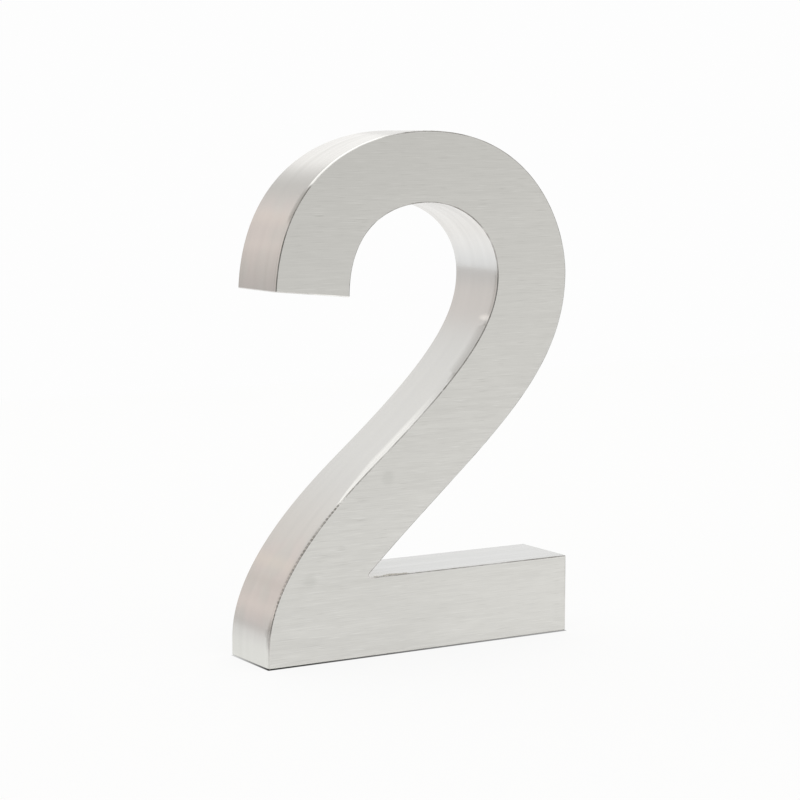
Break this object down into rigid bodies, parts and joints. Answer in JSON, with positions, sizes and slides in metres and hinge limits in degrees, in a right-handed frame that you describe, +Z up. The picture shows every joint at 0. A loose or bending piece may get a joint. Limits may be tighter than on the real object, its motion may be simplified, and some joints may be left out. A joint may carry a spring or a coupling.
{
  "type": "house number",
  "caption": "House number 2 built up from brushed stainless steel sheet: flat face on bent strips, hollow and open at the back, with threaded sleeves inside.",
  "frame": {"origin": "on the ground, midway along the width and midway through the depth", "axes": "+Z up, the face looks along -Y and the open back along +Y, +X to the right as the numeral is read"},
  "size_m": [0.135, 0.03, 0.2],
  "materials": {
    "face_brushed_steel": "sheet ground with a belt, fine straight grain along the width",
    "return_satin_steel": "sheet strip with a satin polish",
    "sleeve_turned_steel": "turned, with a heat tint at the weld"
  },
  "bodies": {
    "root": {"face_plate": "face_brushed_steel", "outer_return": "return_satin_steel", "inner_return": "return_satin_steel", "hook_end_return": "return_satin_steel", "base_return": "return_satin_steel", "sleeve_crown": "sleeve_turned_steel", "sleeve_base_left": "sleeve_turned_steel", "sleeve_base_right": "sleeve_turned_steel"}
  },
  "joints": []
}
